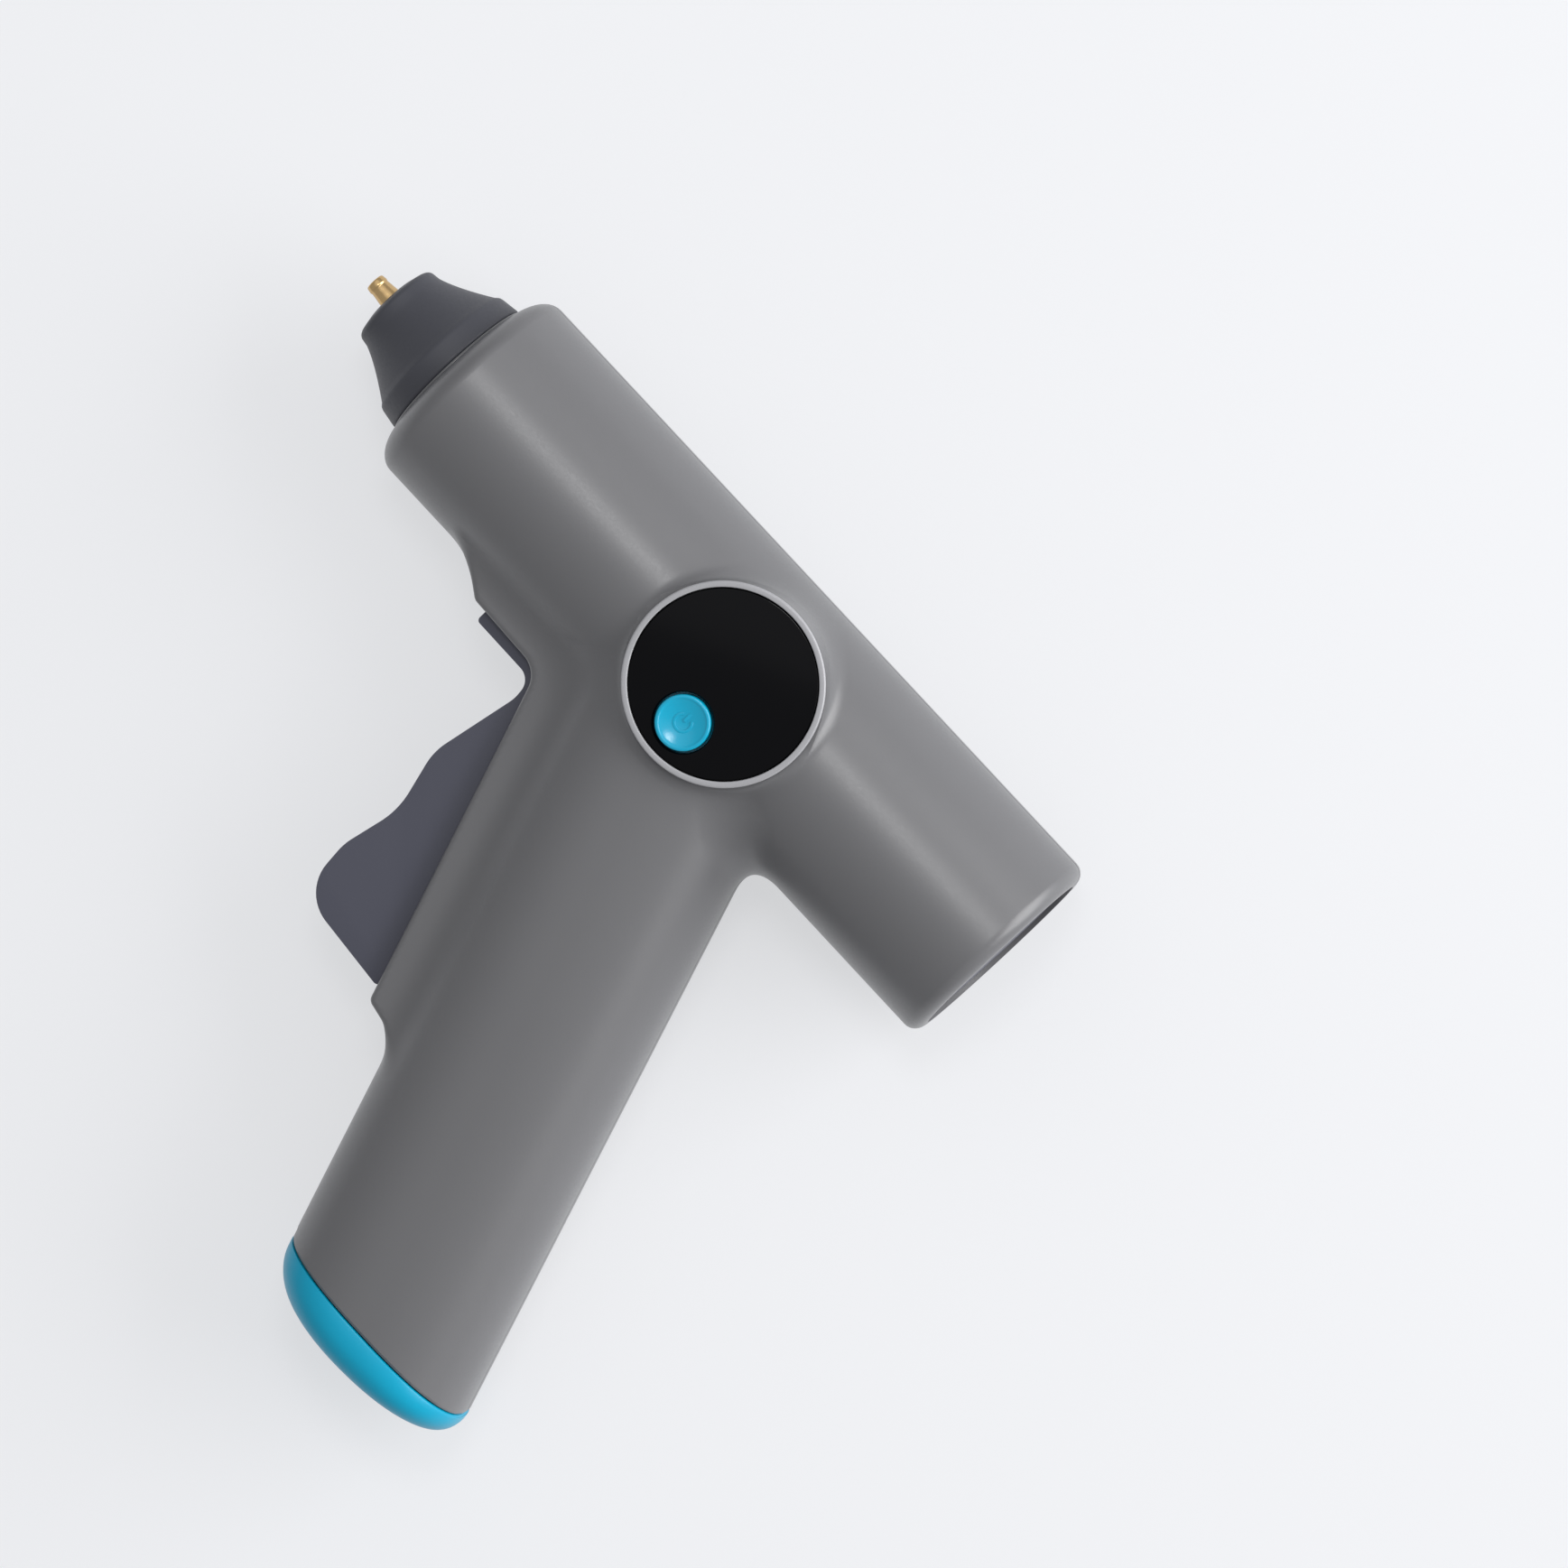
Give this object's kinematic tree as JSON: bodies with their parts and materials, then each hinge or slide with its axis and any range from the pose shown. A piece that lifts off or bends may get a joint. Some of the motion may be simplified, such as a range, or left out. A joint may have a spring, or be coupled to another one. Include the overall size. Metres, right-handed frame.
{
  "type": "glue gun",
  "caption": "Cordless hot glue gun: round barrel with a brass nozzle and a round display, raked battery handle, long trigger that feeds the stick.",
  "frame": {"origin": "on the barrel's axis, at the outer face of the rear cap, where the glue stick goes in", "axes": "+X back along the barrel, +Y up to the top of the gun with the handle down -Y, +Z out of the display side"},
  "size_m": [0.1636, 0.1573, 0.0435],
  "materials": {
    "housing_plastic": "fine matt grey",
    "dark_plastic": "satin dark grey",
    "heat_proof_plastic": "fine matt dark grey",
    "black_plastic": "matt black",
    "white_plastic": "plain",
    "teal_plastic": "satin teal",
    "lens_plastic": "polished black",
    "brass": "turned",
    "steel": "plain",
    "cast_aluminium": "as cast",
    "ceramic": "white ceramic",
    "silicone": "translucent ivory",
    "circuit_board": "solder mask",
    "cell_wrap": "shrink wrap",
    "wire_cover": "insulated wire"
  },
  "bodies": {
    "housing": {"left_shell": "housing_plastic", "right_shell": "housing_plastic", "rear_cap": "dark_plastic", "nozzle_collar": "heat_proof_plastic", "nozzle": "brass", "check_ball": "steel", "nozzle_spring": "steel", "melt_chamber": "cast_aluminium", "heater_plate": "ceramic", "heater_clip": "steel", "thermistor": "black_plastic", "heat_shield": "steel", "heater_bracket": "heat_proof_plastic", "inlet_sleeve": "silicone", "guide_tube": "dark_plastic", "return_spring": "steel", "trigger_pin": "steel", "display_lens": "lens_plastic", "display_module": "black_plastic", "control_board": "circuit_board", "button_switch": "black_plastic", "board_screws": "steel", "battery": "cell_wrap", "battery_cradle": "dark_plastic", "battery_tabs": "steel", "charge_board": "circuit_board", "usb_socket": "steel", "usb_board": "circuit_board", "base_frame": "dark_plastic", "base_cap": "teal_plastic", "housing_screws": "steel", "base_screws": "steel", "heater_leads": "wire_cover", "battery_leads": "wire_cover"},
    "trigger": {"trigger": "dark_plastic"},
    "carriage": {"feed_carriage": "white_plastic", "gripper_pin": "steel"},
    "gripper": {"gripper": "steel"},
    "power_button": {"power_button": "teal_plastic"}
  },
  "joints": [
    {"name": "trigger_pull", "type": "hinge", "parent": "housing", "child": "trigger", "pos_m": [-0.1015, -0.02, 0], "axis": [0, 0, 1], "range_deg": [0, 14], "stiffness_Nm_per_rad": 0.9, "springref_deg": -14.32},
    {"name": "carriage_feed", "type": "slide", "parent": "housing", "child": "carriage", "axis": [-1, 0, 0], "range_m": [0, 0.00495], "deforming": ["return_spring"]},
    {"name": "gripper_bite", "type": "hinge", "parent": "carriage", "child": "gripper", "pos_m": [-0.0955, 0.0068, 0], "axis": [0, 0, 1], "range_deg": [0, 7.1]},
    {"name": "power_press", "type": "slide", "parent": "housing", "child": "power_button", "axis": [0, 0, -1], "range_m": [0, 0.0005], "stiffness_N_per_m": 1200, "springref_m": -0.0006}
  ],
  "couplings": [
    {"joint": "carriage_feed", "follows": "trigger_pull", "m_per_rad": 0.02},
    {"joint": "gripper_bite", "follows": "trigger_pull", "ratio": 0.5}
  ]
}
